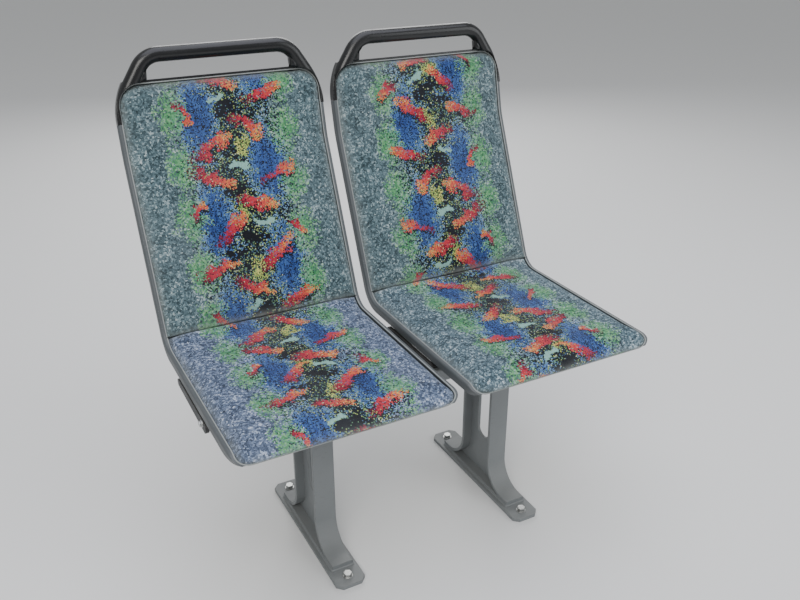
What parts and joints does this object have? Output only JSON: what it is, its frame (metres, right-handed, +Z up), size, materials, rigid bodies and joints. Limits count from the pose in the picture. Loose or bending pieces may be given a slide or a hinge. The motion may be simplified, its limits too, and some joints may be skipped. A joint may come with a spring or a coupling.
{
  "type": "twin bus passenger seat",
  "caption": "Fixed twin passenger seat of a city bus: moulded shells with patterned pads, grab handles on the backs and a shared underframe on floor-bolted legs.",
  "frame": {"origin": "on the floor, under the middle of the whole seat's box", "axes": "+Z up, the seats face -Y, +X runs from the aisle seat to the window seat"},
  "size_m": [0.897, 0.6418, 0.9869],
  "materials": {
    "moquette": "woven pile with a bright speckled band",
    "shell_grey": "moulded, fine grain, scuffed",
    "handle_black": "satin moulded",
    "frame_grey": "grey powder coat",
    "bracket_black": "black powder coat",
    "plug_black": "moulded"
  },
  "bodies": {
    "root": {"aisle_shell": "shell_grey", "aisle_cushion": "moquette", "aisle_back_pad": "moquette", "aisle_grab_handle": "handle_black", "aisle_back_cover": "shell_grey", "aisle_left_runner": "frame_grey", "aisle_right_runner": "frame_grey", "aisle_outer_bracket": "bracket_black", "aisle_inner_bracket": "bracket_black", "aisle_front_rail_plug": "plug_black", "aisle_rear_rail_plug": "plug_black", "aisle_leg": "frame_grey", "aisle_foot_plate": "frame_grey", "window_shell": "shell_grey", "window_cushion": "moquette", "window_back_pad": "moquette", "window_grab_handle": "handle_black", "window_back_cover": "shell_grey", "window_left_runner": "frame_grey", "window_right_runner": "frame_grey", "window_outer_bracket": "bracket_black", "window_inner_bracket": "bracket_black", "window_front_rail_plug": "plug_black", "window_rear_rail_plug": "plug_black", "window_leg": "frame_grey", "window_foot_plate": "frame_grey", "front_cross_rail": "frame_grey", "rear_cross_rail": "frame_grey"}
  },
  "joints": []
}
